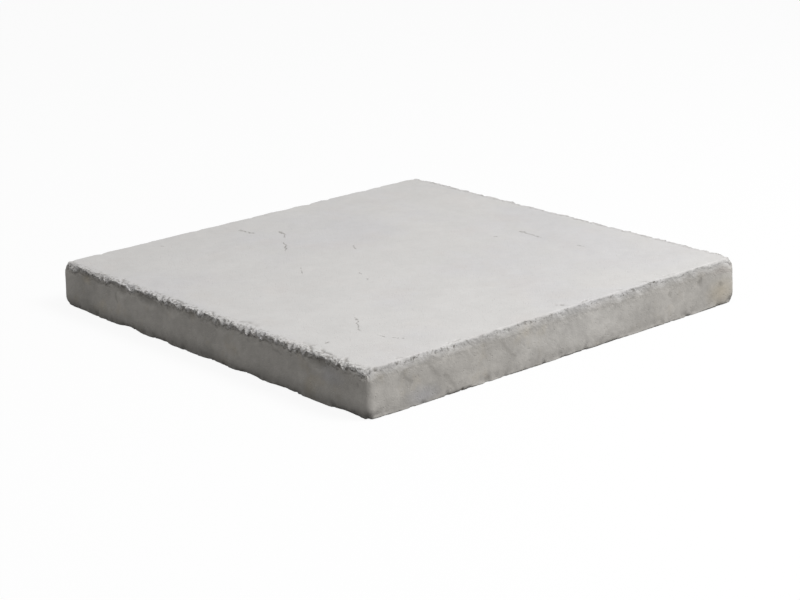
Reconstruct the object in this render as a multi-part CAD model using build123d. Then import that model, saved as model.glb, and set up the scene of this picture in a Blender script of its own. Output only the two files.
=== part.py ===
"""Flat square pillar cap, cast in one piece, with a chiselled rock-face edge.

The cap is widest just above its bed and draws in a little towards the top. Every mark of the
chisel is one scar, cut by a ball, or by a turned segment where it is longer than it is high. Rows
of scars make the broad hollows of the sides, the gouges under the lip, the chips of the top arris
and the scallops of the bed arris, and a few wide ones make the top riven.

Frame: X and Y along the sides, +Z up, origin at the middle of the bed face. Millimetres.
"""

from build123d import *
import math
import os

# Driving dimensions
side_length = 610.0         # over the fullest line of the sides, just above the bed
thickness = 59.0            # bed face to the highest of the top
draft_angle = 1.6           # degrees that each side leans in towards the top
bed_round = 2.5             # rounding between the bed face and the sides

# Upright corners, at the bed: front left, front right, back right, back left
corner_radii = (11.0, 7.0, 8.0, 7.0)

# Broad hollows, which stand upright on each side
broad_pitch = 118.0
broad_depth = (0.9, 1.7)
broad_length = 0.86         # as a share of the pitch
broad_height = (0.35, 0.6)  # of its middle above the bed, as a share of the thickness

# Gouges that undercut the lip: middle as a share of the side's length, length and depth.
# The back repeats the front's and the right side the left's, both the other way round.
front_gouges = (
    (-0.36, 46.0, 0.6),
    (-0.23, 38.0, 0.5),
    (0.10, 48.0, 0.7),
    (0.29, 36.0, 0.6),
)
left_gouges = (
    (-0.41, 36.0, 2.2),
    (-0.28, 30.0, 2.4),
    (-0.19, 50.0, 4.0),
    (-0.10, 30.0, 1.8),
    (-0.04, 32.0, 2.8),
    (0.06, 30.0, 1.6),
    (0.16, 38.0, 1.4),
    (0.36, 40.0, 3.4),
)
gouge_height = (16.0, 22.0)
gouge_below_top = 11.0
gouge_stray = 1.5           # how far a gouge's middle may lie above or below that

# Chips of the top arris, deeper on the left and the right; they face so many degrees above level
chip_pitch = 33.0
chip_length = (0.8, 1.5)    # as a share of the pitch
front_chip_depth = (1.0, 2.6)
left_chip_depth = (1.2, 3.6)
front_chip_facing = (46.0, 64.0)
left_chip_facing = (38.0, 62.0)

# Scallops of the bed arris, deeper on the left and the right
toe_pitch = 84.0
toe_length = (0.55, 0.9)    # as a share of the pitch
front_toe_depth = (0.4, 1.0)
left_toe_depth = (1.6, 2.8)

# One larger chip on each top corner and each bed corner, in the order of the corner radii
corner_chip_depth = (2.6, 2.2, 2.8, 2.6)
corner_chip_length = 34.0
corner_chip_facing = 48.0   # degrees above level
corner_toe_depth = (2.6, 2.2, 2.4, 4.2)
corner_toe_length = 54.0
corner_toe_facing = -42.0

# Wide, shallow hollows of the riven top
riven_depth = (0.6, 1.1)
riven_length = (150.0, 230.0)
riven_count = 7
riven_spread = 0.42         # how far from the middle the last of them lies, as a share of the side

GOLDEN = 0.618034           # steps by this share never fall into a regular beat
clearance = 2.5             # how far a gouge's cutter stands clear of the surface


def spread(index, low_high, salt=0.0):
    """A value between low and high that wanders from one index to the next.

    The salt shifts the whole run, so that one side doesn't repeat another.
    """
    low, high = low_high
    return low + (high - low) * ((index * GOLDEN + salt) % 1.0)


def dish(length, depth):
    """Cutter for one round scar: it hollows the plane Z = 0 down to -depth, `length` across.

    The ball lies on its side, so that neither its poles nor its seam comes near the scar.
    """
    radius = (length**2 / 4 + depth**2) / (2 * depth)
    return Pos(0, 0, radius - depth) * Rot(90, 0, 0) * Sphere(radius)


def gouge(length, height, depth):
    """Cutter for one long scar, `length` along X and `height` along Y on the plane Z = 0.

    A circular segment that runs along X is turned about an axis above it.
    """
    along_radius = (length**2 / 4 + depth**2) / (2 * depth)
    across_radius = (height**2 / 4 + depth**2) / (2 * depth)
    reach = math.sqrt(along_radius**2 - (along_radius - depth - clearance) ** 2)
    half_turn = math.degrees(math.acos((across_radius - depth - clearance) / across_radius))
    arc = ThreePointArc((-reach, 0, clearance), (0, 0, -depth), (reach, 0, clearance))
    segment = Face(Wire([arc, Line((reach, 0, clearance), (-reach, 0, clearance))]))
    axis = Axis((0, 0, across_radius - depth), (1, 0, 0))
    return revolve(segment.rotate(axis, -half_turn), axis, 2 * half_turn)


def on_side(side, along, inset, height, facing):
    """Plane on one side: X along it, Z outwards, tipped up from level by `facing` degrees."""
    outward = Vector(0, -1, 0).rotate(Axis.Z, 90 * side)
    along_side = Vector(1, 0, 0).rotate(Axis.Z, 90 * side)
    origin = outward * (side_length / 2 - inset) + along_side * along + Vector(0, 0, height)
    normal = outward * math.cos(math.radians(facing)) + Vector(0, 0, math.sin(math.radians(facing)))
    return Plane(origin, x_dir=along_side, z_dir=normal)


def inset_at(height):
    """How far the drafted side stands in from the widest line at a height."""
    return height * math.tan(math.radians(draft_angle))


def stations(pitch, side, stray=0.25):
    """Places along a side, evenly shared and then strayed by part of the pitch."""
    run = side_length - 2 * max(corner_radii)
    count = max(1, round(run / pitch))
    step = run / count
    for index in range(count):
        yield index, step, step * (index + 0.5 + stray * (spread(index, (-1, 1), 0.37 * side))) - run / 2


def broad_hollows(side):
    for index, step, along in stations(broad_pitch, side, 0.08):
        depth = spread(index, broad_depth, 0.21 * side)
        height = thickness * spread(index, broad_height, 0.43 * side)
        cutter = dish(step * broad_length, depth)
        yield on_side(side, along, inset_at(height), height, draft_angle) * cutter


def lip_gouges(side):
    places = (front_gouges, left_gouges)[side % 2]
    turned_round = -1 if side in (1, 2) else 1
    for index, (share, length, depth) in enumerate(places):
        height = thickness - gouge_below_top + spread(index, (-gouge_stray, gouge_stray), 0.61 * side)
        cutter = gouge(length, spread(index, gouge_height, 0.53 * side), depth)
        along = turned_round * share * side_length
        yield on_side(side, along, inset_at(height), height, draft_angle) * cutter


def arris_chips(side):
    for index, step, along in stations(chip_pitch, side):
        depth = spread(index, (front_chip_depth, left_chip_depth)[side % 2], 0.17 * side)
        length = step * spread(index, chip_length, 0.71 * side)
        facing = spread(index, (front_chip_facing, left_chip_facing)[side % 2], 0.33 * side)
        yield on_side(side, along, inset_at(thickness), thickness, facing) * dish(length, depth)


def toe_scallops(side):
    facing = (draft_angle - 90) / 2
    centre_inset = inset_at(bed_round) + bed_round / math.cos(math.radians(draft_angle))
    inset = centre_inset - bed_round * math.cos(math.radians(facing))
    height = bed_round + bed_round * math.sin(math.radians(facing))
    for index, step, along in stations(toe_pitch, side):
        depth = spread(index, (front_toe_depth, left_toe_depth)[side % 2], 0.41 * side)
        length = step * spread(index, toe_length, 0.59 * side)
        yield on_side(side, along, inset, height, facing) * dish(length, depth)


def on_corner(side, height, facing):
    """Plane on the upright corner at the left end of a side, tipped up by `facing` degrees."""
    out = Vector(-1, -1, 0).rotate(Axis.Z, 90 * side).normalized()
    across = Vector(1, -1, 0).rotate(Axis.Z, 90 * side).normalized()
    half = side_length / 2 - inset_at(height)
    radius = corner_radii[side] - inset_at(height)
    reach = (half - radius) * math.sqrt(2) + radius
    normal = out * math.cos(math.radians(facing)) + Vector(0, 0, math.sin(math.radians(facing)))
    return Plane(out * reach + Vector(0, 0, height), x_dir=across, z_dir=normal)


def corner_chips(side):
    """The chips on the top corner and on the bed corner at the left end of a side."""
    chip = dish(corner_chip_length, corner_chip_depth[side])
    yield on_corner(side, thickness, corner_chip_facing) * chip
    toe = dish(corner_toe_length, corner_toe_depth[side])
    yield on_corner(side, 0, corner_toe_facing) * toe


def riven_hollows():
    """Wide hollows over the top, on a sunflower's spiral, so that they cover it evenly."""
    for index in range(riven_count):
        turn = 360 * GOLDEN * index
        distance = side_length * riven_spread * math.sqrt((index + 0.5) / riven_count)
        place = Vector(distance, 0, thickness).rotate(Axis.Z, turn)
        length = spread(index, riven_length, 0.5)
        cutter = dish(length, spread(index, riven_depth))
        yield Pos(place) * cutter


def blank_slab():
    """The slab before the chisel: drafted sides, rounded corners and a rounded bed arris."""
    lean = math.radians(draft_angle)
    lost_to_round = bed_round * ((1 + math.sin(lean)) / math.cos(lean) - 1)
    sharp_length = side_length + 2 * lost_to_round
    plan = Rectangle(sharp_length, sharp_length)
    for side, radius in enumerate(corner_radii):
        corner = Vector(-side_length, -side_length, 0).rotate(Axis.Z, 90 * side)
        plan = fillet(plan.vertices().sort_by_distance(corner)[0], radius)
    slab = extrude(plan, thickness, taper=draft_angle)
    return fillet(slab.faces().sort_by(Axis.Z)[0].edges(), bed_round)


def pillar_cap():
    cap = blank_slab()
    for scars in (broad_hollows, lip_gouges, arris_chips, toe_scallops, corner_chips):
        cap -= [cutter for side in range(4) for cutter in scars(side)]
    cap -= list(riven_hollows())
    return cap.solids().sort_by(SortBy.VOLUME)[-1]


os.makedirs("parts", exist_ok=True)
export_step(pillar_cap(), "parts/pillar_cap.step")
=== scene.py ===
"""Looks of the pillar cap: a square slab of cast concrete with a rock-face edge.

The cap is one closed mesh. It is laid out as rows and columns over a plain slab, drawn onto the
chiselled solid of the frame, and then given the relief that the solid leaves out: the crumbled
rim, the broken face of the sides, the chipped bed arris and the riven top. Sizes are in metres,
and those of the marks in millimetres.
"""

import math

import bpy
import numpy as np
from bpy.props import FloatProperty, FloatVectorProperty, IntProperty, PointerProperty
from mathutils import Matrix, Vector


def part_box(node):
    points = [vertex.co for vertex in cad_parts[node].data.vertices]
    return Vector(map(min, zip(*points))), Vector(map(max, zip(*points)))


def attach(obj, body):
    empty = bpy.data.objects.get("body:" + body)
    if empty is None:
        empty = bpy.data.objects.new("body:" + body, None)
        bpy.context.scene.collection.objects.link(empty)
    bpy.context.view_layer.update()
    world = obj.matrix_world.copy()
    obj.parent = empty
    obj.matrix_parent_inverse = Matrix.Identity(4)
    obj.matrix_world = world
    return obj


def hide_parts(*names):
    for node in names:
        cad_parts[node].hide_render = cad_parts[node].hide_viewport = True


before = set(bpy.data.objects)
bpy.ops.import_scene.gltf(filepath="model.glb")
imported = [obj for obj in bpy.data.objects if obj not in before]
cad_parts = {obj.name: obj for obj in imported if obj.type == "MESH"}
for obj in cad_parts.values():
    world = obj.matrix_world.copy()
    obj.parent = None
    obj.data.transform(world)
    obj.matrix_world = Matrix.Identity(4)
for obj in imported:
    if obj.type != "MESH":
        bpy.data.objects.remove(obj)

bl_info = {
    "name": "Pillar cap",
    "version": (1, 0, 0),
    "blender": (4, 5, 0),
    "location": "3D View > Sidebar > Pillar cap",
    "description": "Builds a rock-face concrete pillar cap and the studio it stands in",
    "category": "Object",
}

NODE = "pillar_cap"
BOX_LOW, BOX_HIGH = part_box(NODE)
SIDE = BOX_HIGH[0] - BOX_LOW[0]
THICKNESS = BOX_HIGH[2] - BOX_LOW[2]
MM = 0.001
LEAN = math.radians(1.6)    # angle at which the sides lean in towards the top
SLANT = np.array((1, 1, -1)) / math.sqrt(3)     # the way the chisel's marks run over the sides

DEEP = THICKNESS / MM       # distance down the side from the arris to the bed, in millimetres

RIM_SHARE = 0.6             # share of the solid's chips at the arris that the finer lobes replace
RIM_REACH = 9 * MM          # how far from the arris they do
CORNER_INSETS = (29, 2)     # millimetres in from a side where its corner begins, and where it is full
SIDE_TO_SIDE = (0.35, 0.75)     # part of the outward direction between which one side becomes the next
TORN_LEAST = 0.32           # how torn the arris of the front and back is, next to the others' 1
FULL_HOLLOW = 4 * MM        # depth at which a hollow of the sides is shaded in full

# Fine columns to one column of the top and of the sides, and columns of the sides to one of the bed
TOP_STEP, SIDE_STEP, BED_STEP = 4, 2, 6
# Rows on the lip's top, round the arris, down the lip, down the side, round the bed arris, under it
TOP_ROWS, ARRIS_ROWS, LIP_ROWS, SIDE_ROWS, BED_ROWS, UNDER_ROWS = 12, 3, 11, 12, 5, 3
UNDER_REACH = 2.5           # how far the rows reach in under the bed, in lip widths
FAN_REACH = 4               # how far in lies the sharp square that the columns lead to, in lip widths
TOP_GAP, BED_GAP = 3 * MM, 8 * MM       # from the last row to the grid of the top and of the bed

TABLE_SIZE = 256            # entries of the noises' random tables
TABLE_SHIFT = 64            # cells by which a seed may shift a lattice
NOISE_GAIN = 1.5            # brings the noise up to about 1

NEVER_ZERO = 1e-9           # added to what the strokes divide by

# The studio
FLOOR_HALF = 12.0
FLOOR_DROP = 0.2 * MM       # how far the floor lies under the bed, so that the two don't flicker
FLOOR_WHITE = 0.92          # share of the floor's look that is plain white; the rest takes the shadow
KEY_PLACE = (0.9, -1.75, 2.5)
KEY_SIZE = 1.3
SENSOR = 36                 # width of the camera's sensor, in millimetres
CLIP_END = 100
AIM = (0.0088, -0.0859)     # from the middle of the top, to the right and up, as shares of the side

# Where the rim is knocked off, in millimetres: middle along the side, half the length, and depth.
# The back repeats the front's and the right side the left's, both the other way round.
FRONT_LOBES = (
    (-299, 15, 6.5), (-262, 10, 2.0), (-249, 12, 5.0), (-220, 9, 2.5), (-196, 8, 2.0), (-176, 12, 3.0),
    (-150, 10, 1.5), (-118, 9, 2.0), (-96, 12, 4.0), (-70, 9, 2.0), (-40, 8, 1.2), (-3, 10, 4.0),
    (52, 22, 2.5), (97, 11, 5.5), (132, 9, 4.5), (170, 8, 2.5), (203, 12, 3.5), (228, 7, 3.5),
    (262, 14, 3.0), (299, 17, 8.0),
)
LEFT_LOBES = (
    (-282, 14, 7.0), (-258, 8, 2.5), (-236, 10, 3.0), (-216, 8, 4.0), (-203, 9, 5.5), (-170, 6, 2.0),
    (-149, 10, 6.5), (-118, 6, 1.5), (-86, 8, 6.0), (-74, 9, 7.0), (-48, 7, 4.0), (-28, 5, 2.0),
    (-5, 10, 5.5), (27, 5, 7.5), (43, 7, 4.5), (54, 6, 6.5), (79, 8, 5.0), (90, 7, 7.0),
    (104, 5, 4.0), (117, 6, 6.0), (130, 6, 4.5), (143, 6, 5.0), (158, 5, 3.5), (170, 6, 7.0),
    (180, 6, 5.0), (194, 6, 6.5), (206, 5, 3.0), (218, 5, 4.5), (236, 6, 5.0), (250, 6, 6.5),
    (266, 7, 6.0), (280, 5, 4.0), (293, 9, 7.0),
)

# Tears of the top near its rim, in millimetres: the width, then the points of a crooked line
RIM_TEARS = (
    (2.4, (-290, -178), (-288, -193)),
    (2.4, (-294, -64), (-289, -73), (-290, -92)),
    (2.6, (-291, -190), (-299, -204)),
    (2.6, (-291, -212), (-295, -221), (-294, -232)),
    (2.4, (-291, -253), (-298, -264)),
    (2.2, (-300, -20), (-294, -10)),
    (2.2, (-299, 40), (-295, 62)),
    (2.2, (-296, 172), (-293, 181)),
    (2.8, (-297, -297), (-295, -298)),
    (2.6, (-290, -302), (-288, -303)),
    (2.2, (7, -285), (12, -290)),
    (2.4, (144, -289), (150, -297)),
    (2.2, (100, -294), (103, -297)),
    (2.2, (-252, -294), (-247, -297)),
    (2.0, (30, -299), (52, -296)),
    (2.0, (176, -296), (196, -298)),
    (2.2, (-180, -298), (-160, -296)),
)


# Settings


def length(name, description, default):
    """Property that is a length, in metres."""
    return FloatProperty(name=name, description=description, default=default, unit="LENGTH")


def tint(name, description, default):
    """Property that is a colour."""
    return FloatVectorProperty(
        name=name, description=description, default=default, subtype="COLOR", min=0, max=1,
    )


class CapShapeSettings(bpy.types.PropertyGroup):
    """Sizes of the relief that is worked over the solid."""

    columns_per_side: IntProperty(
        name="Columns per side", description="Mesh columns along one side at the lip, a multiple of 12",
        default=540, min=120,
    )
    lip_width: length("Lip width", "How far the fine mesh reaches in over the top", 14 * MM)
    lip_height: length("Lip height", "How far the fine mesh reaches down the sides", 15 * MM)
    arris_radius: length("Arris radius", "Rounding of the top arris before it is torn", 0.8 * MM)
    bed_radius: length("Bed radius", "Rounding between the sides and the bed", 2.5 * MM)
    corner_radius: length("Corner radius", "Rounding of the upright corners", 8 * MM)
    ledge_height: length("Ledge height", "Step between the ledges of the broken rim", 1.7 * MM)
    rag_depth: length("Rag depth", "Raggedness of the side under the top arris", 2.8 * MM)
    crumb_depth: length("Crumb depth", "Depth of the crumbs of the top arris", 3.4 * MM)
    worn_depth: length("Worn depth", "Bevel worn on the front's and the back's arris", 3.4 * MM)
    scuff_depth: length("Scuff depth", "Depth of the slanting chips under the worn arris", 1.0 * MM)
    side_depth: length("Side relief", "Depth of the broken face of the sides", 2.2 * MM)
    toe_depth: length("Toe depth", "How far the foot of the left side turns in", 1.0 * MM)
    nibble_depth: length("Nibble depth", "Depth of the small chips along the bed arris", 1.6 * MM)
    corner_wear: length("Corner wear", "How far the corners are worn back, at foot and rim", 2.5 * MM)
    top_depth: length("Top relief", "Depth of the riven face of the top", 0.9 * MM)
    pit_depth: length("Pit depth", "Depth of the small round pits", 0.9 * MM)


class CapFinishSettings(bpy.types.PropertyGroup):
    """Colours of the concrete."""

    skin: tint("Skin", "Colour of the smooth cast face", (0.632, 0.620, 0.607))
    broken: tint("Broken face", "Colour where the chisel has broken the skin", (0.577, 0.553, 0.517))
    # Colour of fresh breaks; on the rim's crumbs it is partly painted highlight of flakes that catch the
    # light.
    fresh: tint("Fresh crumb", "Pale colour of the crumbled arris", (0.720, 0.705, 0.680))
    # Colour of the dirt in pits and cracks, also used for painted shade in the rim's gaps, the grooves
    # and under the left arris.
    dirt_and_shade: tint("Hollows", "Colour of the dirt in pits and cracks", (0.235, 0.220, 0.200))
    warm_stain: tint("Warm stain", "Colour of the rusty stains", (0.560, 0.490, 0.370))
    cool_stain: tint("Cool stain", "Colour of the cool bloom on the top", (0.565, 0.560, 0.585))
    pink_stain: tint("Pink stain", "Colour of the pinkish patches", (0.600, 0.545, 0.515))


class StudioSettings(bpy.types.PropertyGroup):
    """Floor, light and camera."""

    key_strength: FloatProperty(
        name="Key light", description="Power of the soft main light", default=78, unit="POWER",
    )
    sky_strength: FloatProperty(
        name="Sky", description="Strength of the even light from all round", default=0.42,
    )
    floor_bounce: tint("Floor bounce", "Colour of the floor as it lights the cap", (0.10, 0.097, 0.093))
    lens: FloatProperty(
        name="Lens", description="Focal length on a 36 mm sensor", default=94.19, unit="CAMERA",
    )
    azimuth: FloatProperty(
        name="Azimuth", description="Turn of the camera round the cap",
        default=math.radians(-40.55), subtype="ANGLE",
    )
    elevation: FloatProperty(
        name="Elevation", description="Height of the camera above level",
        default=math.radians(17.35), subtype="ANGLE",
    )
    roll: FloatProperty(
        name="Roll", description="Tilt of the picture",
        default=math.radians(-1.65), subtype="ANGLE",
    )
    distance: FloatProperty(
        name="Distance", description="From the camera to the aim point",
        default=2.66509, unit="LENGTH",
    )


# Numbers over surfaces


def smooth_step(value, start, end):
    """0 below start, 1 above end, and 3t^2 - 2t^3 between them."""
    t = np.clip((value - start) / (end - start), 0, 1)
    return t * t * (3 - 2 * t)


def pick_in_table(cell, order):
    """Entry of a random table for each cell of a lattice: x, y and z are stirred in one by one."""
    x, y, z = (cell % TABLE_SIZE).T
    return order[(order[(order[x] + y) % TABLE_SIZE] + z) % TABLE_SIZE]


def gradient_noise(points, wavelength, seed):
    """Smooth noise from -1 to 1: each corner of a cubic lattice has a random slope, and the eight
    slopes round a point are blended by the quintic 6t^5 - 15t^4 + 10t^3 of its place in the cell."""
    random = np.random.default_rng(seed)
    order = random.permutation(TABLE_SIZE)
    slopes = random.normal(size=(TABLE_SIZE, 3))
    slopes /= np.linalg.norm(slopes, axis=1)[:, None]
    place = points / wavelength + random.uniform(0, TABLE_SHIFT, 3)
    cell = np.floor(place).astype(int)
    offset = place - cell
    blend = offset**3 * (offset * (offset * 6 - 15) + 10)
    total = np.zeros(len(points))
    for corner in ((x, y, z) for x in (0, 1) for y in (0, 1) for z in (0, 1)):
        slope = slopes[pick_in_table(cell + corner, order)]
        weight = np.prod(np.where(corner, blend, 1 - blend), axis=1)
        total += weight * np.einsum("ij,ij->i", slope, offset - corner)
    return total * NOISE_GAIN


def fractal(points, wavelength, octaves, seed, gain=0.5):
    """Noise plus finer noise: each octave has half the wavelength and `gain` times the height."""
    heights = gain ** np.arange(octaves)
    layers = [
        height * gradient_noise(points, wavelength / 2**octave, seed + octave)
        for octave, height in enumerate(heights)
    ]
    return sum(layers) / heights.sum()


def nearest_in_lattice(points, pitch, seed):
    """Distance to the nearest of the random centres, one in each cell of a lattice, in units of the
    pitch, and a random number from 0 to 1 that belongs to that centre."""
    random = np.random.default_rng(seed)
    order = random.permutation(TABLE_SIZE)
    centres = random.uniform(0.1, 0.9, size=(TABLE_SIZE, 3))
    values = random.uniform(size=TABLE_SIZE)
    place = points / pitch + random.uniform(0, TABLE_SHIFT, 3)
    cell = np.floor(place).astype(int)
    best = np.full(len(points), np.inf)
    value = np.zeros(len(points))
    steps = (-1, 0, 1)
    for step in ((x, y, z) for x in steps for y in steps for z in steps):
        near = cell + step
        pick = pick_in_table(near, order)
        distance = np.linalg.norm(place - near - centres[pick], axis=1)
        value = np.where(distance < best, values[pick], value)
        best = np.minimum(best, distance)
    return best, value


def round_pits(points, pitch, radius, share, seed):
    """Bowls round a share of the lattice's centres: the depth is 1 - (d / r)^2 inside r, and r runs
    from half the radius to the whole."""
    distance, value = nearest_in_lattice(points, pitch, seed)
    size = radius / pitch * (0.5 + 0.5 * value / share)
    bowl = np.clip(1 - (distance / size) ** 2, 0, 1)
    return np.where(value < share, bowl, 0)


def broken_chunks(points, pitch, share, seed):
    """Chunks knocked out: a share of the lattice's cells has each one depth up to 1, the rest 0."""
    _, value = nearest_in_lattice(points, pitch, seed)
    return np.clip(value - (1 - share), 0, None) / share


# The mesh: rows down the profile, columns round the outline


def all_round(x, y):
    """One side's points, and the same turned by 90, 180 and 270 degrees."""
    return np.concatenate([np.stack(side, axis=1) for side in ((x, y), (-y, x), (-x, -y), (y, -x))])


def outline(half, radius, columns):
    """Rounded square, from the middle of the corner at -X -Y on, anticlockwise seen from above.

    On one side the path is half a corner arc, a straight and half an arc; the other three are the
    same turned by 90 degrees. Returns the points and their outward directions.
    """
    arc = radius * math.pi / 4
    straight = 2 * (half - radius)
    gone = (np.arange(columns) / columns) * (2 * arc + straight)
    on_first = gone < arc
    on_last = gone > arc + straight
    angle = np.where(on_first, gone - arc, np.where(on_last, gone - arc - straight, 0)) / radius
    x = np.clip(gone - arc - straight / 2, -straight / 2, straight / 2) + radius * np.sin(angle)
    y = -(half - radius) - radius * np.cos(angle)
    out_x, out_y = np.sin(angle), -np.cos(angle)
    return all_round(x, y), all_round(out_x, out_y)


def square_ring(half, columns):
    """The sharp square inside the band, in the same steps as the outline."""
    run = np.linspace(-half, half, columns, endpoint=False)
    return all_round(run, np.full(columns, -half))


def profile(settings):
    """The slab's section, from the top, out over the arris, down the side and in under the bed.

    Returns for each row its inset from the outline, its height and its distance from the arris
    along the section, which is negative on the top; then the row where the fine mesh ends.
    """
    arris, bed = settings.arris_radius, settings.bed_radius
    turn = np.linspace(0, math.pi / 2, ARRIS_ROWS)
    under = np.linspace(0, math.pi / 2, BED_ROWS)
    top_inset = np.linspace(settings.lip_width, arris, TOP_ROWS + 1)[:-1]
    lip_height = np.linspace(THICKNESS - arris, THICKNESS - settings.lip_height, LIP_ROWS + 1)[1:]
    side_height = np.linspace(lip_height[-1], bed, SIDE_ROWS + 2)[1:-1]
    bed_inset = np.linspace(bed, UNDER_REACH * settings.lip_width, UNDER_ROWS + 1)[1:]
    level = np.concatenate([lip_height, side_height])
    inset = np.concatenate([
        top_inset,
        arris * (1 - np.sin(turn)),
        level * 0,
        bed * (1 - np.cos(under)),
        bed_inset,
    ])
    height = np.concatenate([
        top_inset * 0 + THICKNESS,
        THICKNESS - arris * (1 - np.cos(turn)),
        level,
        bed * (1 - np.sin(under)),
        bed_inset * 0,
    ])
    gone = np.concatenate([[0], np.cumsum(np.hypot(np.diff(inset), np.diff(height)))])
    fine_rows = len(top_inset) + len(turn) + len(lip_height)
    return inset, height, gone - gone[len(top_inset) + 1], fine_rows


def band_quads(rows, columns):
    """Quads between each row and the next, closed round the ring."""
    row, column = np.meshgrid(np.arange(rows - 1), np.arange(columns), indexing="ij")
    after = (column + 1) % columns
    above, below = row * columns, (row + 1) * columns
    corners = [above + column, above + after, below + after, below + column]
    return np.stack(corners, axis=-1).reshape(-1, 4)[:, ::-1]


def ring_of_grid(size):
    """Indices of a square grid's rim, from -X -Y along -Y first, size steps to a side."""
    run = np.arange(size)
    wide = size + 1
    sides = [run, run * wide + size, size * wide + size - run, (size - run) * wide]
    return np.concatenate(sides)


def grid_quads(size):
    """Quads of a square grid whose rows run along X, seen from above."""
    row, column = np.meshgrid(np.arange(size), np.arange(size), indexing="ij")
    first = row * (size + 1) + column
    return np.stack([first, first + 1, first + size + 2, first + size + 1], axis=-1).reshape(-1, 4)


def stitch(fine, coarse, ratio):
    """Triangles between a ring of `ratio` steps and the ring of single steps inside it.

    In each group the first half of the fine edges fan to the coarse edge's start, the rest to its
    end, and one triangle joins the fans.
    """
    start = coarse
    end = np.roll(coarse, -1)
    groups = [fine[step::ratio] for step in range(ratio)] + [np.roll(fine[::ratio], -1)]
    half = (ratio + 1) // 2
    triangles = []
    for step in range(ratio):
        inner = start if step < half else end
        triangles.append(np.stack([groups[step], groups[step + 1], inner], axis=1))
    triangles.append(np.stack([start, groups[half], end], axis=1))
    return np.concatenate(triangles)


def sheet_points(half, height, size):
    """Flat square grid at a height."""
    run = np.linspace(-half, half, size + 1)
    x, y = np.meshgrid(run, run)
    return np.stack([x, y, np.full_like(x, height)], axis=-1).reshape(-1, 3)


def ring_band(settings, columns, inset, height):
    """Points of a band of rows: the outline drawn in by each row's inset, towards a sharp square
    inside it, so that the columns of a corner fan out. Returns their outward directions too."""
    reach = FAN_REACH * settings.lip_width
    outer, out = outline(SIDE / 2, settings.corner_radius, columns)
    inner = square_ring(SIDE / 2 - reach, columns)
    share = (inset / reach)[:, None, None]
    across = outer[None] * (1 - share) + inner[None] * share
    heights = np.broadcast_to(height[:, None, None], (*across.shape[:2], 1))
    outward = np.zeros((len(inset), 4 * columns, 3))
    outward[:, :, :2] = out
    return np.concatenate([across, heights], axis=2).reshape(-1, 3), outward.reshape(-1, 3)


def slab_mesh(settings):
    """The plain slab as one closed mesh: a grid for the top, a fine band round the lip, a coarse
    band down the sides and a grid for the bed, each stitched to the next.

    Returns its points, its faces, each point's distance from the arris and the level direction
    that points out of the nearest side.
    """
    fine = settings.columns_per_side
    middling = fine // SIDE_STEP
    coarse = fine // TOP_STEP
    coarsest = middling // BED_STEP
    inset, height, gone, cut = profile(settings)
    lip, lip_out = ring_band(settings, fine, inset[:cut], height[:cut])
    side, side_out = ring_band(settings, middling, inset[cut:], height[cut:])
    top_half = SIDE / 2 - inset[0] - TOP_GAP
    bed_half = SIDE / 2 - inset[-1] - BED_GAP
    top = sheet_points(top_half, THICKNESS, coarse)
    bed = sheet_points(bed_half, 0, coarsest)

    starts = np.cumsum([0, len(lip), len(side), len(top)])
    lip_start, side_start, top_start, bed_start = starts
    lip_ring = np.arange(4 * fine)
    side_ring = side_start + np.arange(4 * middling)
    lip_foot = (cut - 1) * 4 * fine + lip_ring
    side_foot = (len(inset) - cut - 1) * 4 * middling + side_ring
    faces = [
        band_quads(cut, 4 * fine) + lip_start,
        band_quads(len(inset) - cut, 4 * middling) + side_start,
        grid_quads(coarse) + top_start,
        grid_quads(coarsest)[:, ::-1] + bed_start,
        stitch(lip_ring, top_start + ring_of_grid(coarse), TOP_STEP),
        stitch(lip_foot, side_ring, SIDE_STEP)[:, ::-1],
        stitch(side_foot, bed_start + ring_of_grid(coarsest), BED_STEP)[:, ::-1],
    ]
    points = np.concatenate([lip, side, top, bed])
    from_arris = np.concatenate([
        np.repeat(gone[:cut], 4 * fine),
        np.repeat(gone[cut:], 4 * middling),
        gone[0] - (SIDE / 2 - inset[0] - np.abs(top[:, :2]).max(axis=1)),
        gone[-1] + (SIDE / 2 - inset[-1] - np.abs(bed[:, :2]).max(axis=1)),
    ])
    outward = np.concatenate([lip_out, side_out, np.zeros_like(top), np.zeros_like(bed)])
    return points, faces, from_arris, outward


def fill_mesh(name, points, faces):
    """Mesh from whole arrays: one run of corner indices, and where each face begins in it."""
    mesh = bpy.data.meshes.new(name)
    counts = np.concatenate([np.full(len(group), group.shape[1]) for group in faces])
    corners = np.concatenate([group.ravel() for group in faces])
    mesh.vertices.add(len(points))
    mesh.vertices.foreach_set("co", points.astype(np.float32).ravel())
    mesh.loops.add(len(corners))
    mesh.loops.foreach_set("vertex_index", corners.astype(np.int32))
    mesh.polygons.add(len(counts))
    mesh.polygons.foreach_set("loop_start", (np.cumsum(counts) - counts).astype(np.int32))
    mesh.update(calc_edges=True)
    mesh.validate()
    mesh.polygons.foreach_set("use_smooth", np.ones(len(counts), dtype=bool))
    return mesh


def read_points(mesh):
    """Places of a mesh's vertices as one array."""
    flat = np.empty(len(mesh.vertices) * 3, dtype=np.float32)
    mesh.vertices.foreach_get("co", flat)
    return flat.reshape(-1, 3).astype(float)


def write_points(mesh, points):
    """Set the places of a mesh's vertices from one array."""
    mesh.vertices.foreach_set("co", points.astype(np.float32).ravel())
    mesh.update()


def add_values(mesh, name, values):
    """One number for each point of the mesh, for its material to read."""
    attribute = mesh.attributes.new(name, "FLOAT", "POINT")
    attribute.data.foreach_set("value", values.astype(np.float32))


def drawn_onto(piece, target):
    """Places of the piece's vertices once each is moved to the nearest point of the target."""
    wrap = piece.modifiers.new("onto the solid", "SHRINKWRAP")
    wrap.target = target
    wrap.wrap_method = "NEAREST_SURFACEPOINT"
    evaluated = piece.evaluated_get(bpy.context.evaluated_depsgraph_get())
    points = read_points(evaluated.data)
    piece.modifiers.remove(wrap)
    return points


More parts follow.
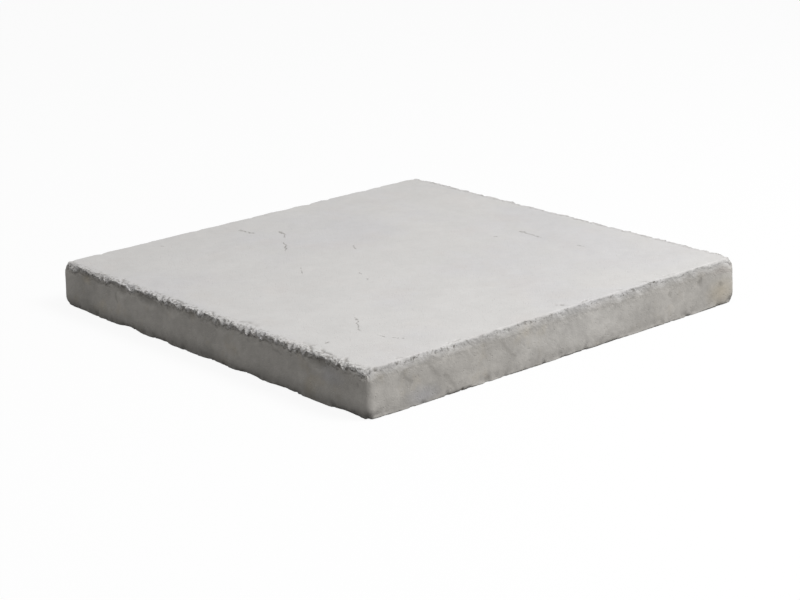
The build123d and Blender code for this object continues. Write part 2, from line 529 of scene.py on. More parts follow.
def knocked_off(along, lobes):
    """Depth of the rim's lobes: each is a pointed dip, depth * (1 - |distance| / half)^0.8."""
    depth = np.zeros_like(along)
    for middle, half, deepest in lobes:
        dip = np.clip(1 - np.abs(along - middle) / half, 0, None) ** 0.8
        depth = np.maximum(depth, deepest * dip)
    return depth


def torn_open(mm, strokes):
    """Mask of crooked strokes, seen from above: 1 on their line, 0 beyond their width."""
    mask = np.zeros(len(mm))
    for width, *line in strokes:
        for start, end in zip(line, line[1:]):
            along = np.subtract(end, start)
            from_start = mm[:, :2] - start
            share = np.clip(from_start @ along / (along @ along), 0, 1)
            distance = np.linalg.norm(from_start - share[:, None] * along, axis=1)
            mask = np.maximum(mask, 1 - distance / width)
    return mask


def rim_depth(mm, outward):
    """Depth of the broken rim, and how far a point belongs to the left or the right side, whose rim
    is broken more roughly. The front and back are read along X, the left and right along -Y, and
    the back's rim is the front's made deeper."""
    stray = 2.5 * gradient_noise(mm, wavelength=12, seed=84)
    stray += 1.5 * gradient_noise(mm, wavelength=5, seed=85)
    rough = smooth_step(np.abs(outward[:, 0]), *SIDE_TO_SIDE)
    front = knocked_off(mm[:, 0] + stray, FRONT_LOBES)
    worn_down = 1.4 + 1.8 * fractal(mm * (1, 1, 0), wavelength=26, octaves=3, seed=77, gain=0.6)
    front = np.maximum(front, worn_down * smooth_step(-mm[:, 0], -30, 110))
    left = knocked_off(stray - mm[:, 1], LEFT_LOBES)
    behind = 1 + 0.4 * smooth_step(outward[:, 1], *SIDE_TO_SIDE)
    return front * (1 - rough) * behind + left * rough, rough


def near_corner(mm):
    """1 at the upright corners, 0 a little way from them."""
    start, full = (SIDE / 2 / MM - inset for inset in CORNER_INSETS)
    return smooth_step(np.abs(mm[:, :2]).min(axis=1), start, full)


def ledged(height, step, edge=0.55):
    """The height as a flight of ledges: level for `edge` of each step, then a smooth riser."""
    steps = height / step
    return step * (np.floor(steps) + smooth_step(steps - np.floor(steps), edge, 0.95))


class MarkedPoints:
    """The mesh's points in millimetres: their distance down from the arris, the places warped by
    noise where broken marks are read, and how the rim is broken at each."""

    def __init__(self, points, from_arris, outward):
        self.mm = points / MM
        self.down = from_arris / MM
        self.outward = outward
        waves = [gradient_noise(self.mm, wavelength=5, seed=seed) for seed in (81, 82, 83)]
        self.warped = self.mm + 1.2 * np.stack(waves, axis=1)
        self.depth, self.rough = rim_depth(self.mm, outward)
        self.torn = TORN_LEAST + (1 - TORN_LEAST) * self.rough
        self.corner = near_corner(self.mm)
        self.pits = round_pits(self.mm, pitch=13, radius=2.4, share=0.12, seed=61)


def rim_inset(at, settings):
    """Inset of the rim: ragged and in chunks on the rough sides, which wear back at their corners,
    and on the front and back a worn bevel with slanting chips."""
    mm, down, rough = at.mm, at.down, at.rough
    at_lip = np.exp(-((down - 3.5) / 5.5) ** 2)
    ragged = np.clip(0.2 + fractal(mm, wavelength=5.5, octaves=2, seed=29, gain=0.8), 0, None)
    ragged += broken_chunks(at.warped * (1, 0.7, 1.4), pitch=8, share=0.5, seed=19)
    ragged += broken_chunks(at.warped * (1, 0.7, 1.2), pitch=3.8, share=0.55, seed=11)
    inset = at_lip * at.torn * rough * 0.5 * ragged * settings.rag_depth
    worn = 0.75 + 0.6 * fractal(mm, wavelength=34, octaves=3, seed=75) + 0.05 * at.depth
    bevel = np.clip(worn, 0, 1.3) * (1 - smooth_step(down, -1, 11))
    inset += (1 - rough) * bevel * settings.worn_depth
    drawn_out = mm - 0.8 * np.outer(mm @ SLANT, SLANT)
    scuffs = np.clip(0.15 + fractal(drawn_out, wavelength=6, octaves=3, seed=43, gain=0.7), 0, None)
    scuffs += 0.4 * broken_chunks(drawn_out, pitch=4, share=0.5, seed=47)
    inset += (1 - rough) * scuffs * np.exp(-np.abs(down - 1) / 7) * settings.scuff_depth
    return inset + at.corner * rough * (1 - smooth_step(down, 0, 12)) * settings.corner_wear


def face_inset(at, settings):
    """Inset of the sides' broken face and round pits. It begins on the top, 5 mm from the arris, on
    the front and back, and at the arris on the rough sides."""
    from_start = at.down - 5 * at.rough
    on_side = smooth_step(from_start, -5, 3) * (1 - smooth_step(at.down, DEEP - 4, DEEP + 2))
    broken = 0.3 + 0.5 * fractal(at.mm, wavelength=46, octaves=5, seed=31, gain=0.6)
    return on_side * (broken * settings.side_depth + at.pits * settings.pit_depth)


def foot_inset(at, settings):
    """Inset of the sides' foot: it turns in on the left side and at the corners, and small chips are
    gone along the bed arris."""
    rise = smooth_step(at.down, DEEP - 14, DEEP - 1) ** 1.5
    near_bed = rise * (1 - smooth_step(at.down, DEEP + 4, DEEP + 12))
    wavering = 0.5 * gradient_noise(at.mm, wavelength=90, seed=71)
    toe = smooth_step(wavering - at.outward[:, 0], -0.2, 1.0)
    nibbled = broken_chunks(at.warped * (1, 1, 0.8), pitch=7, share=0.35, seed=97)
    nibbled += 0.5 * np.clip(fractal(at.mm, wavelength=5, octaves=2, seed=98, gain=0.8), 0, None)
    turned_in = toe * settings.toe_depth + at.corner * settings.corner_wear
    return near_bed * (turned_in + nibbled * settings.nibble_depth)


def top_drop(at, settings):
    """Drop of the top: its faint riven ledges, the bank that falls to the broken rim, with ledges of
    its own on the rough sides, and the crumbs of the arris."""
    down, rough = at.down, at.rough
    level = at.warped * (1, 0.7, 0)
    rift = 0.5 + 0.5 * fractal(at.mm * (1, 0.72, 1), wavelength=95, octaves=4, seed=53, gain=0.48)
    riven = ledged(rift, step=0.2, edge=0.35)
    reach = 1.5 + 0.5 * rough + (1.1 + 0.2 * rough) * at.depth
    slope = np.clip(1 + np.minimum(down, 0) / reach, 0, 1) ** 1.3
    uneven = 1 + 0.35 * rough * fractal(level, wavelength=6, octaves=3, seed=37, gain=0.7)
    bank = at.depth * slope * uneven
    ledges = ledged(np.clip(bank, 0, None), settings.ledge_height / MM)
    near_arris = np.clip(1 + np.minimum(down, 0) / 5, 0, 1)
    ragged = np.clip(0.05 + fractal(level, wavelength=6, octaves=3, seed=39, gain=0.9), 0, None)
    ragged += 0.3 * broken_chunks(level, pitch=8, share=0.5, seed=19)
    ragged += 0.5 * broken_chunks(level, pitch=3.8, share=0.55, seed=11)
    drop = riven * settings.top_depth + (bank + (ledges - bank) * rough) * MM
    return drop + near_arris * at.torn * ragged * settings.crumb_depth


def rim_tears(at):
    """Mask of the tears near the rim. Noise jogs them and opens gaps in them, so that none is neat."""
    jogged = at.warped + 1.2 * np.outer(gradient_noise(at.mm, wavelength=9, seed=91), (1, -1, 0))
    whole = torn_open(jogged, RIM_TEARS) * (at.down < 2)
    kept = gradient_noise(at.mm, wavelength=6, seed=93) + 0.15 + 0.4 * at.rough + at.corner
    return whole * smooth_step(kept, -0.25, 0.3)


def relief(points, from_arris, outward, settings):
    """Relief that the solid leaves out: how far a point of the sides goes in, how far a point of the
    top goes down, where the rim is rough and where it is torn.

    The inset fades over the top within 14 mm and the drop down the side over 15 mm, and the drop's
    marks are read as seen from above, so that neither folds the mesh.
    """
    at = MarkedPoints(points, from_arris, outward)
    tears = rim_tears(at)
    inset = rim_inset(at, settings) + face_inset(at, settings) + foot_inset(at, settings)
    drop = top_drop(at, settings) + (0.35 * at.pits + 2 * tears) * settings.pit_depth
    over_top = np.exp(np.minimum(at.down, 0) / 8) * smooth_step(at.down, -14, -3)
    over_side = np.exp(-np.maximum(at.down, 0) / 15) * (1 - smooth_step(at.down, 26, 46))
    return inset * over_top, np.clip(drop, 0, None) * over_side, at.rough, tears


def new_piece(name, mesh, material):
    """Object with a mesh and its material, at the origin."""
    piece = bpy.data.objects.new(name, mesh)
    bpy.context.scene.collection.objects.link(piece)
    mesh.materials.append(material)
    return piece


# Shader groups and materials

# Sockets of the mix node when it mixes colours
MIX_SHARE, MIX_FIRST, MIX_SECOND, MIX_COLOUR = 0, 6, 7, 2


class Nodes:
    """Shorthand for filling a node tree. A value is a socket to link or a plain value to set."""

    def __init__(self, tree):
        self.tree = tree

    def add(self, kind, values=None, **settings):
        """New node with its settings and the values of its inputs."""
        node = self.tree.nodes.new(kind)
        for key, value in settings.items():
            setattr(node, key, value)
        for key, value in (values or {}).items():
            socket = node.inputs[key]
            if isinstance(value, bpy.types.NodeSocket):
                self.tree.links.new(value, socket)
            else:
                socket.default_value = value
        return node

    def math(self, operation, *values, clamp=False):
        """Result of one operation on numbers."""
        values = dict(enumerate(values))
        return self.add("ShaderNodeMath", values, operation=operation, use_clamp=clamp).outputs[0]

    def times(self, *values):
        """Product of numbers."""
        product = values[0]
        for value in values[1:]:
            product = self.math("MULTIPLY", product, value)
        return product

    def vector(self, operation, *values, output="Vector"):
        """Result of one operation on vectors; its output is "Value" where it gives a number."""
        values = dict(enumerate(values))
        return self.add("ShaderNodeVectorMath", values, operation=operation).outputs[output]

    def scaled(self, vector, scale):
        """Vector or colour times a number."""
        values = {0: vector, "Scale": scale}
        return self.add("ShaderNodeVectorMath", values, operation="SCALE").outputs["Vector"]

    def ramp(self, value, start, end, low=0.0, high=1.0):
        """Straight ramp of a value from start..end to low..high, held at the ends."""
        names = ("Value", "From Min", "From Max", "To Min", "To Max")
        values = dict(zip(names, (value, start, end, low, high)))
        return self.add("ShaderNodeMapRange", values, clamp=True).outputs["Result"]

    def mix(self, share, first, second):
        """Colour between two: each is a socket or the three numbers of a setting."""
        values = {MIX_SHARE: share}
        for socket, end in ((MIX_FIRST, first), (MIX_SECOND, second)):
            values[socket] = end if isinstance(end, bpy.types.NodeSocket) else (*end, 1.0)
        return self.add("ShaderNodeMix", values, data_type="RGBA").outputs[MIX_COLOUR]

    def noise(self, vector, scale, detail=4.0, roughness=0.55):
        """Cloudy noise from 0 to 1."""
        values = {"Vector": vector, "Scale": scale, "Detail": detail, "Roughness": roughness}
        return self.add("ShaderNodeTexNoise", values).outputs["Fac"]

    def swing(self, vector, scale, detail, roughness, spread):
        """Noise from -0.5 to 0.5, which it reaches `spread` from its middle."""
        noise = self.noise(vector, scale, detail, roughness)
        return self.ramp(noise, 0.5 - spread, 0.5 + spread, -0.5, 0.5)


def shader_group(name, inputs, outputs):
    """Empty group with named sockets. Returns the group, its nodes, its input and its output node."""
    group = bpy.data.node_groups.new(name, "ShaderNodeTree")
    for label, kind, default in inputs:
        socket = group.interface.new_socket(label, in_out="INPUT", socket_type=f"NodeSocket{kind}")
        socket.default_value = default
    for label, kind in outputs:
        group.interface.new_socket(label, in_out="OUTPUT", socket_type=f"NodeSocket{kind}")
    nodes = Nodes(group)
    return group, nodes, nodes.add("NodeGroupInput").outputs, nodes.add("NodeGroupOutput").inputs


def stroke_group():
    """Mask of a straight stroke: 1 on the line from one point to another, 0 beyond its width."""
    inputs = [
        ("Vector", "Vector", (0, 0, 0)),
        ("From", "Vector", (0, 0, 0)),
        ("To", "Vector", (1, 0, 0)),
        ("Width", "Float", 0.001),
    ]
    group, nodes, given, result = shader_group("stroke", inputs, [("Mask", "Float")])
    along = nodes.vector("SUBTRACT", given["To"], given["From"])
    from_start = nodes.vector("SUBTRACT", given["Vector"], given["From"])
    reached = nodes.vector("DOT_PRODUCT", from_start, along, output="Value")
    squared = nodes.vector("DOT_PRODUCT", along, along, output="Value")
    share = nodes.math("DIVIDE", reached, nodes.math("ADD", squared, NEVER_ZERO), clamp=True)
    distance = nodes.vector("DISTANCE", from_start, nodes.scaled(along, share), output="Value")
    mask = nodes.math("SUBTRACT", 1.0, nodes.math("DIVIDE", distance, given["Width"]), clamp=True)
    nodes.tree.links.new(mask, result["Mask"])
    return group


def spot_group():
    """Mask of a soft round spot: 1 within a fifth of its radii, 0 beyond them."""
    inputs = [
        ("Vector", "Vector", (0, 0, 0)),
        ("Middle", "Vector", (0, 0, 0)),
        ("Radii", "Vector", (1, 1, 1)),
    ]
    group, nodes, given, result = shader_group("spot", inputs, [("Mask", "Float")])
    away = nodes.vector("SUBTRACT", given["Vector"], given["Middle"])
    distance = nodes.vector("LENGTH", nodes.vector("DIVIDE", away, given["Radii"]), output="Value")
    nodes.tree.links.new(nodes.ramp(distance, 1.0, 0.2), result["Mask"])
    return group


def grain_group():
    """Fine concrete grain: a height from sand and pinholes, and a mask of the pinholes."""
    inputs = [("Vector", "Vector", (0, 0, 0))]
    outputs = [("Height", "Float"), ("Holes", "Float")]
    group, nodes, given, result = shader_group("concrete grain", inputs, outputs)
    place = given["Vector"]
    sand = nodes.noise(place, 800.0, 3.0, 0.65)
    lumps = nodes.noise(place, 230.0, 4.0, 0.6)
    cells = nodes.add("ShaderNodeTexVoronoi", {"Vector": place, "Scale": 240.0, "Randomness": 1.0})
    sparse = nodes.ramp(nodes.noise(place, 120.0, 2.0), 0.62, 0.5, 0.051, 0.241)
    holes = nodes.ramp(nodes.math("DIVIDE", cells.outputs["Distance"], sparse), 1.0, 0.55)
    height = nodes.math("ADD", nodes.times(sand, 0.35), nodes.times(lumps, 0.65))
    height = nodes.math("SUBTRACT", height, nodes.times(holes, 0.5))
    nodes.tree.links.new(height, result["Height"])
    nodes.tree.links.new(holes, result["Holes"])
    return group


def stain_group():
    """Mask of soft cloudy stains, with a size and a share of the surface that they take."""
    inputs = [("Vector", "Vector", (0, 0, 0)), ("Size", "Float", 0.1), ("Share", "Float", 0.4)]
    group, nodes, given, result = shader_group("cloudy stain", inputs, [("Mask", "Float")])
    clouds = nodes.noise(given["Vector"], nodes.math("DIVIDE", 1.0, given["Size"]), 5.0, 0.6)
    edge = nodes.math("SUBTRACT", 0.72, nodes.times(given["Share"], 0.4))
    rise = nodes.math("DIVIDE", nodes.math("SUBTRACT", clouds, edge), 0.16, clamp=True)
    nodes.tree.links.new(rise, result["Mask"])
    return group


# Strokes, in millimetres: the width, then the points of a crooked line. Those of the top are cracks,
# given by X and Y from its middle.
TOP_CRACKS = (
    (3.4, (-53, 258), (-51, 231)),
    (2.8, (-20, 214), (-23, 196)),
    (1.6, (-23, 196), (-32, 186)),
    (1.6, (-49, 167), (-57, 151), (-71, 134)),
    (1.9, (6, 89), (-3, 76)),
    (1.8, (-69, -13), (-71, -18)),
    (1.6, (-79, -38), (-81, -42)),
    (2.6, (202, -22), (200, -60)),
    (0.8, (-107, 58), (-122, 36)),
    (1.6, (-191, -150), (-195, -160), (-206, -171), (-218, -190)),
    (1.7, (-215, -218), (-213, -228)),
    (1.6, (-209, -238), (-202, -248)),
    (2.2, (-172, 272), (-170, 269)),
    (2.4, (162, -16), (163, -17)),
    (2.2, (206, -124), (208, -132)),
    (1.8, (-274, -198), (-270, -197)),
)
# Grooves of the front, by X and height, and of the left side, by -Y and height
FRONT_GROOVES = (
    (3.5, (-252, 43), (-238, 29)),
    (3.0, (-212, 42), (-198, 26)),
    (4.5, (-189, 26), (-174, 7)),
    (3.5, (-102, 44), (-82, 20)),
)
LEFT_GROOVES = (
    (2.6, (-183, 42), (-181, 30)),
    (1.8, (134, 43), (154, 42)),
    (3.0, (287, 39), (289, 38)),
)
# Soft spots of another colour, in millimetres: middle, radii, colour and how much of it
SPOTS = (
    ((30, -305, 34), (165, 20, 44), "pale", 0.32),
    ((-200, -305, 24), (90, 20, 36), "dirt_and_shade", 0.10),
    ((-222, -305, 10), (30, 20, 14), "cool", 0.55),
    ((278, -305, 18), (32, 20, 22), "warm", 0.55),
    ((184, -305, 36), (4, 20, 6), "dirt_and_shade", 0.45),
    ((240, -305, 40), (6, 20, 8), "dirt_and_shade", 0.5),
    ((277, -305, 28), (5, 20, 5), "dirt_and_shade", 0.45),
    ((55, -305, 54), (20, 20, 9), "pink", 0.4),
    ((282, -305, 48), (26, 20, 10), "pink", 0.4),
    ((-305, 252, 46), (20, 14, 9), "warm", 0.5),
    ((-305, -240, 38), (20, 28, 14), "cool", 0.5),
    # The dark spots just under the left side's arris are painted shade of the bites there.
    ((-305, 118, 52), (20, 26, 13), "dirt_and_shade", 0.18),
    ((-305, 168, 50), (20, 16, 12), "dirt_and_shade", 0.14),
    ((-305, 24, 50), (20, 14, 12), "dirt_and_shade", 0.16),
    ((-305, -220, 52), (20, 18, 10), "dirt_and_shade", 0.16),
)
# Clouds of stain: size in metres, share of the surface, where they lie, colour and how much of it
CLOUDS = (
    (0.16, 0.6, "top", "cool", 0.35),
    (0.07, 0.5, "top", "pink", 0.16),
    (0.035, 0.35, "side", "warm", 0.35),
)


class Finish(Nodes):
    """The concrete's nodes: its groups, and the places and masks that its steps share."""

    def __init__(self, tree):
        super().__init__(tree)
        self.groups = {
            "grain": grain_group(), "stain": stain_group(),
            "stroke": stroke_group(), "spot": spot_group(),
        }
        self.place = self.add("ShaderNodeTexCoord").outputs["Object"]
        self.from_arris = self.attribute("from_arris")
        self.rough = self.attribute("rough")
        self.smooth = self.math("SUBTRACT", 1.0, self.rough)
        self.side = self.ramp(self.from_arris, 0.5 * MM, self.by_side(12 * MM, 6 * MM))
        self.top = self.math("SUBTRACT", 1.0, self.side)
        self.lip = self.band(-4, 0, 2, 9)
        noise = self.add("ShaderNodeTexNoise", {"Vector": self.place, "Scale": 140.0, "Detail": 3.0})
        shake = self.vector("SUBTRACT", noise.outputs["Color"], (0.5, 0.5, 0.5))
        self.jogged = self.vector("ADD", self.place, self.scaled(shake, 9 * MM))
        self.patches = self.math(
            "ADD", self.swing(self.place, 26.0, 5.0, 0.6, 0.14),
            self.times(self.swing(self.place, 95.0, 4.0, 0.65, 0.16), 0.7),
        )

    def attribute(self, name):
        """One of the mesh's own values."""
        return self.add("ShaderNodeAttribute", attribute_name=name).outputs["Fac"]

    def by_side(self, smooth, rough):
        """Number that is one on the front and back, and another on the rough sides."""
        return self.ramp(self.rough, 0.0, 1.0, smooth, rough)

    def band(self, start, full, fade, end):
        """Mask of a band along the arris, by millimetres down from it: it rises from start to full
        and falls from fade to end."""
        rise = self.ramp(self.from_arris, start * MM, full * MM)
        return self.times(rise, self.ramp(self.from_arris, end * MM, fade * MM))

    def group(self, name, at, **values):
        """Outputs of one of the groups, read at a place."""
        values["Vector"] = at
        return self.add("ShaderNodeGroup", values, node_tree=self.groups[name]).outputs

    def strokes(self, table, axes, placed):
        """The masks of a table's strokes in one, read flat, in the plane of two axes. `placed` makes
        a point in space of a stroke's two numbers."""
        flat = self.vector("MULTIPLY", self.jogged, axes)
        mask = None
        for width, *points in table:
            for start, end in zip(points, points[1:]):
                ends = {"From": placed(*start), "To": placed(*end), "Width": width * MM}
                one = self.group("stroke", flat, **ends)["Mask"]
                mask = one if mask is None else self.math("MAXIMUM", mask, one)
        return mask


def stained_and_shaded(nodes, settings):
    """Colour of the skin and of the broken face, under their clouds of stain and their spots, of which
    those under the left arris are painted shade.
    """
    colours = {
        "dirt_and_shade": settings.dirt_and_shade, "cool": settings.cool_stain, "warm": settings.warm_stain,
        "pale": settings.fresh, "pink": settings.pink_stain,
    }
    tone = nodes.mix(nodes.side, settings.skin, settings.broken)
    for size, share, where, name, amount in CLOUDS:
        cloud = nodes.group("stain", nodes.place, Size=size, Share=share)["Mask"]
        tone = nodes.mix(nodes.times(cloud, getattr(nodes, where), amount), tone, colours[name])
    for middle, radii, name, amount in SPOTS:
        middle, radii = (tuple(value * MM for value in values) for values in (middle, radii))
        spot = nodes.group("spot", nodes.jogged, Middle=middle, Radii=radii)["Mask"]
        tone = nodes.mix(nodes.times(spot, nodes.side, amount), tone, colours[name])
    return tone


def slanting_streaks(nodes):
    """Streaks along the chisel's marks: noise read at places drawn together along the slant."""
    slant = tuple(SLANT)
    along = nodes.vector("DOT_PRODUCT", nodes.place, slant, output="Value")
    drawn_out = nodes.vector("SUBTRACT", nodes.place, nodes.scaled(slant, nodes.times(along, 0.85)))
    return nodes.swing(drawn_out, 240.0, 4.0, 0.65, 0.14)


def shade(nodes, streaks, scuffed):
    """How light the colour is, about 1: in patches and streaks, with painted shade in the recesses of
    the sides, on the worn bevel and at the foot of the sides, and painted light that lifts the sides."""
    side, from_arris = nodes.side, nodes.from_arris
    light = nodes.math("ADD", 1.0, nodes.times(nodes.patches, nodes.ramp(side, 0.0, 1.0, 0.045, 0.17)))
    # Painted shade in the sides' hollows, darker the deeper they sink; on the front and back only below
    # the lip.
    below_lip = nodes.math("MAXIMUM", nodes.rough, nodes.ramp(from_arris, 8 * MM, 18 * MM))
    painted_hollow_shade = nodes.times(nodes.attribute("hollow_shade"), side, below_lip, 0.22)
    light = nodes.math("SUBTRACT", light, painted_hollow_shade)
    streaked = nodes.times(streaks, nodes.math("ADD", nodes.times(scuffed, 0.16), 0.045), side)
    light = nodes.math("ADD", light, streaked)
    # Painted shade at the foot of the sides, next to the floor, strongest on the rough sides.
    foot = nodes.times(nodes.ramp(from_arris, 38 * MM, 60 * MM), nodes.by_side(0.11, 0.44))
    # Painted shade on the worn bevel of the front and back, which faces up into the light.
    bevel = nodes.times(nodes.band(-4, -1, 7, 13), nodes.smooth, 0.14)
    light = nodes.math("SUBTRACT", light, nodes.math("ADD", foot, bevel))
    # Painted light that lifts the sides, the rough ones most, as the key light misses the left side.
    return nodes.math("ADD", light, nodes.times(side, nodes.by_side(0.03, 0.08)))


def rim_gap_shade(nodes, crumbs):
    """Mask of the painted shade in the gap between the crumbs of the rim: all along the rough sides, and
    on the front and back in clusters."""
    near_lip = nodes.ramp(nodes.math("ABSOLUTE", nodes.from_arris), 14 * MM, 3 * MM)
    flat = nodes.vector("MULTIPLY", nodes.place, (1, 0.6, 1))
    gaps = nodes.ramp(nodes.noise(flat, 330.0, 3.0, 0.6), 0.51, 0.59)
    clusters = nodes.ramp(nodes.patches, -0.3, 0.25, 0.15, 1.3)
    sparse = nodes.times(nodes.lip, nodes.smooth, nodes.math("SUBTRACT", 1.0, crumbs), clusters)
    return nodes.times(gaps, near_lip, nodes.math("MAXIMUM", nodes.rough, sparse))


def top_cracks(nodes):
    """Mask of the top's hairline cracks, broken up by noise."""
    cracks = nodes.strokes(TOP_CRACKS, (1, 1, 0), lambda x, y: (x * MM, y * MM, 0))
    return nodes.times(cracks, nodes.top, nodes.ramp(nodes.noise(nodes.place, 260.0, 2.0), 0.36, 0.56))


def side_groove_shade(nodes):
    """Mask of the grooves of the sides, painted dark as their shade."""
    front = nodes.strokes(FRONT_GROOVES, (1, 0, 1), lambda x, z: (x * MM, 0, z * MM))
    left = nodes.strokes(LEFT_GROOVES, (0, 1, 1), lambda y, z: (0, -y * MM, z * MM))
    front, left = nodes.times(front, nodes.smooth), nodes.times(left, nodes.rough)
    return nodes.times(nodes.math("MAXIMUM", front, left), nodes.side)


def empty_material(name, kind=Nodes):
    """Material without nodes, and what fills its tree."""
    material = bpy.data.materials.new(name)
    material.use_nodes = True
    material.node_tree.nodes.clear()
    return material, kind(material.node_tree)


def concrete(settings):
    """Cast concrete: pale skin on the top, warmer broken face on the sides, pale crumbs at the arris
    that are partly painted highlight, and painted shade in the recesses, between the crumbs and in the
    grooves, on the bevel and at the foot.
    """
    material, nodes = empty_material("cast concrete", Finish)
    place, side, lip = nodes.place, nodes.side, nodes.lip
    streaks = slanting_streaks(nodes)
    scuffed = nodes.times(nodes.band(-1, 2, 4, 20), nodes.smooth)
    # Crumbs of the rim, painted pale: fresh breaks, and partly painted highlight of flakes that catch
    # the light.
    crumbs = nodes.ramp(nodes.noise(place, 170.0, 3.0), 0.42, 0.6)
    # Painted shade between the crumbs of the rim.
    gaps = rim_gap_shade(nodes, crumbs)
    cracks = top_cracks(nodes)
    grain = nodes.group("grain", place)

    tone = nodes.scaled(stained_and_shaded(nodes, settings), shade(nodes, streaks, scuffed))
    tone = nodes.mix(nodes.times(lip, crumbs, nodes.by_side(0.2, 0.7)), tone, settings.fresh)
    # Dark marks: painted shade in the rim's gaps and the grooves, and the dark specks, pinholes, cracks
    # and tears.
    dark = (
        nodes.times(gaps, 0.8),
        nodes.ramp(nodes.noise(place, 420.0, 4.0, 0.7), 0.35, 0.2, 0.0, 0.25),
        nodes.times(grain["Holes"], 0.1),
        nodes.times(cracks, 0.9),
        nodes.times(nodes.attribute("tears"), 0.7),
        nodes.times(side_groove_shade(nodes), 0.35),
    )
    for mask in dark:
        tone = nodes.mix(mask, tone, settings.dirt_and_shade)

    height = nodes.math("SUBTRACT", grain["Height"], nodes.math("ADD", cracks, gaps))
    height = nodes.math("ADD", height, nodes.times(nodes.noise(place, 330.0, 3.0, 0.6), lip, 3.0))
    streaked = nodes.times(streaks, side, nodes.math("ADD", nodes.times(scuffed, 0.8), 0.2))
    height = nodes.math("ADD", height, streaked)
    bump = nodes.add("ShaderNodeBump", {"Height": height, "Strength": 0.5, "Distance": 0.8 * MM})
    values = {"Base Color": tone, "Roughness": 0.92, "Normal": bump.outputs["Normal"]}
    surface = nodes.add("ShaderNodeBsdfPrincipled", values)
    nodes.add("ShaderNodeOutputMaterial", {"Surface": surface.outputs[0]})
    return material


def studio_floor(settings):
    """White floor with the cap's shadow; it throws back less light than it shows."""
    material, nodes = empty_material("studio floor")
    path = nodes.add("ShaderNodeLightPath").outputs
    bounce = nodes.add("ShaderNodeBsdfDiffuse", {"Color": (*settings.floor_bounce, 1.0)})
    shown = nodes.add("ShaderNodeBsdfDiffuse", {"Color": (0.9, 0.9, 0.9, 1.0)})
    white = nodes.add("ShaderNodeEmission", {"Color": (1, 1, 1, 1), "Strength": 1.0})
    lit = nodes.add("ShaderNodeMixShader", {0: FLOOR_WHITE, 1: shown.outputs[0], 2: white.outputs[0]})
    seen = nodes.math("MAXIMUM", path["Is Camera Ray"], path["Is Glossy Ray"])
    seen = nodes.math("MAXIMUM", seen, path["Is Transmission Ray"])
    both = nodes.add("ShaderNodeMixShader", {0: seen, 1: bounce.outputs[0], 2: lit.outputs[0]})
    nodes.add("ShaderNodeOutputMaterial", {"Surface": both.outputs[0]})
    return material


# Operators


class OBJECT_OT_pillar_cap(bpy.types.Operator):
    """Build the cap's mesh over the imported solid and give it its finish"""

    bl_idname = "object.pillar_cap"
    bl_label = "Build pillar cap"

    def execute(self, context):
        shape = context.scene.cap_shape
        points, faces, from_arris, outward = slab_mesh(shape)
        mesh = fill_mesh("cast_slab", points, faces)
        piece = new_piece("cast_slab", mesh, concrete(context.scene.cap_finish))
        at_rim = RIM_SHARE * np.exp(-((from_arris / RIM_REACH) ** 2)) * (1 - near_corner(points / MM))
        wrapped = drawn_onto(piece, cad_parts[NODE])
        wrapped += (points - wrapped) * at_rim[:, None]
        write_points(mesh, wrapped)
        inset, drop, rough, tears = relief(wrapped, from_arris, outward, shape)
        placed = wrapped - outward * inset[:, None] - np.outer(drop, (0, 0, 1))
        placed = np.clip(placed, BOX_LOW, BOX_HIGH)
        write_points(mesh, placed)
        # How far the side sinks under the plain leaning slab; it sets the painted shade of the hollows.
        painted_hollow_shade = np.einsum("ij,ij->i", points - placed, outward) - math.tan(LEAN) * placed[:, 2]
        add_values(mesh, "from_arris", from_arris)
        add_values(mesh, "rough", rough)
        add_values(mesh, "tears", tears)
        add_values(mesh, "hollow_shade", np.clip(painted_hollow_shade / FULL_HOLLOW, 0, 1))
        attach(piece, "root")
        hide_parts(NODE)
        return {"FINISHED"}


class SCENE_OT_cap_studio(bpy.types.Operator):
    """Lay the pale floor, hang the soft light under a pale sky and set the camera"""

    bl_idname = "scene.cap_studio"
    bl_label = "Set up studio"

    def execute(self, context):
        studio = context.scene.cap_studio
        floor_mesh = fill_mesh("floor", sheet_points(FLOOR_HALF, -FLOOR_DROP, 1), [grid_quads(1)])
        floor = new_piece("floor", floor_mesh, studio_floor(studio))
        add_sky(studio)
        add_light("key", KEY_PLACE, KEY_SIZE, studio.key_strength)
        add_camera(studio)
        return {"FINISHED"}


def add_sky(studio):
    """Even light from all round; the camera sees it as white."""
    world = bpy.data.worlds.new("studio")
    world.use_nodes = True
    world.node_tree.nodes.clear()
    nodes = Nodes(world.node_tree)
    path = nodes.add("ShaderNodeLightPath").outputs
    seen = nodes.math("MAXIMUM", path["Is Camera Ray"], path["Is Transmission Ray"])
    dim = nodes.add("ShaderNodeBackground", {"Color": (1, 1, 1, 1), "Strength": studio.sky_strength})
    white = nodes.add("ShaderNodeBackground", {"Color": (1, 1, 1, 1), "Strength": 1.0})
    both = nodes.add("ShaderNodeMixShader", {0: seen, 1: dim.outputs[0], 2: white.outputs[0]})
    nodes.add("ShaderNodeOutputWorld", {"Surface": both.outputs[0]})
    bpy.context.scene.world = world


def add_light(name, place, size, power):
    """Square soft box that points at the cap."""
    light = bpy.data.lights.new(name, "AREA")
    light.size = size
    light.energy = power
    lamp = bpy.data.objects.new(name, light)
    bpy.context.scene.collection.objects.link(lamp)
    lamp.location = place
    aim = Vector((0, 0, THICKNESS)) - Vector(place)
    lamp.rotation_euler = aim.to_track_quat("-Z", "Y").to_euler()


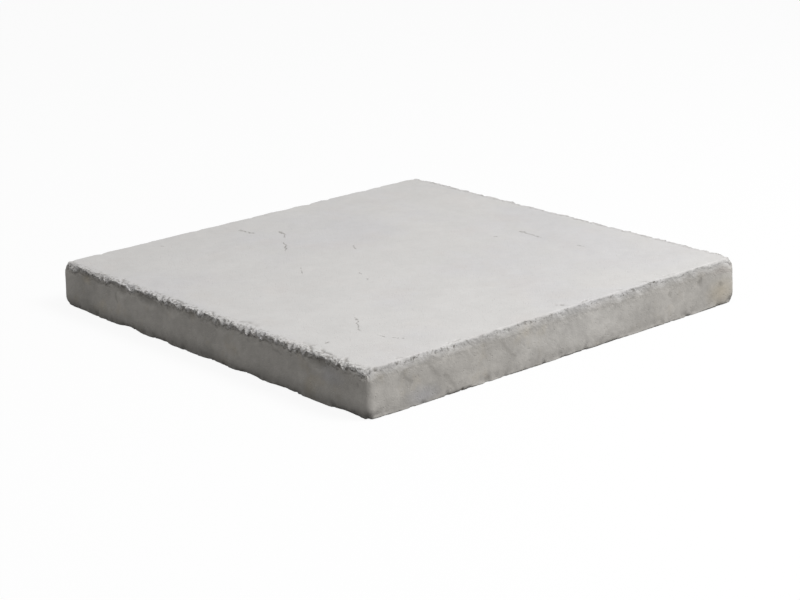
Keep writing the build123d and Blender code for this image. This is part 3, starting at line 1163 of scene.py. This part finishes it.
def add_camera(studio):
    """Camera at the photograph's angle: turned round the cap, raised, tilted and moved back."""
    data = bpy.data.cameras.new("camera")
    data.sensor_width = SENSOR
    data.lens = studio.lens
    data.clip_end = CLIP_END
    camera = bpy.data.objects.new("camera", data)
    bpy.context.scene.collection.objects.link(camera)
    turn, rise = studio.azimuth, studio.elevation
    back = Vector((math.sin(turn) * math.cos(rise), -math.cos(turn) * math.cos(rise), math.sin(rise)))
    right = Vector((math.cos(turn), math.sin(turn), 0))
    up = back.cross(right)
    aim = right * (AIM[0] * SIDE) + up * (AIM[1] * SIDE) + Vector((0, 0, THICKNESS))
    tilted_right = right * math.cos(studio.roll) + up * math.sin(studio.roll)
    tilted_up = up * math.cos(studio.roll) - right * math.sin(studio.roll)
    axes = Matrix((tilted_right, tilted_up, back)).transposed().to_4x4()
    camera.matrix_world = Matrix.Translation(aim + back * studio.distance) @ axes
    bpy.context.scene.camera = camera


class VIEW3D_PT_pillar_cap(bpy.types.Panel):
    """Lists the cap's steps and settings"""

    bl_idname = "VIEW3D_PT_pillar_cap"
    bl_label = "Pillar cap"
    bl_space_type = "VIEW_3D"
    bl_region_type = "UI"
    bl_category = "Pillar cap"

    def draw(self, context):
        for operator in OPERATORS:
            self.layout.operator(operator)
        for name in SETTINGS:
            box = self.layout.box()
            for field in SETTINGS[name].__annotations__:
                box.prop(getattr(context.scene, name), field)


OPERATORS = ("object.pillar_cap", "scene.cap_studio")
SETTINGS = {"cap_shape": CapShapeSettings, "cap_finish": CapFinishSettings, "cap_studio": StudioSettings}
CLASSES = (*SETTINGS.values(), OBJECT_OT_pillar_cap, SCENE_OT_cap_studio, VIEW3D_PT_pillar_cap)


def register():
    for cls in CLASSES:
        bpy.utils.register_class(cls)
    for name, cls in SETTINGS.items():
        setattr(bpy.types.Scene, name, PointerProperty(type=cls))


def unregister():
    for name in SETTINGS:
        delattr(bpy.types.Scene, name)
    for cls in reversed(CLASSES):
        bpy.utils.unregister_class(cls)


def main():
    register()
    bpy.context.scene.view_settings.view_transform = "Standard"
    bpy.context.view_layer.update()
    for operator in OPERATORS:
        group, name = operator.split(".")
        getattr(getattr(bpy.ops, group), name)()


if __name__ == "__main__":
    main()
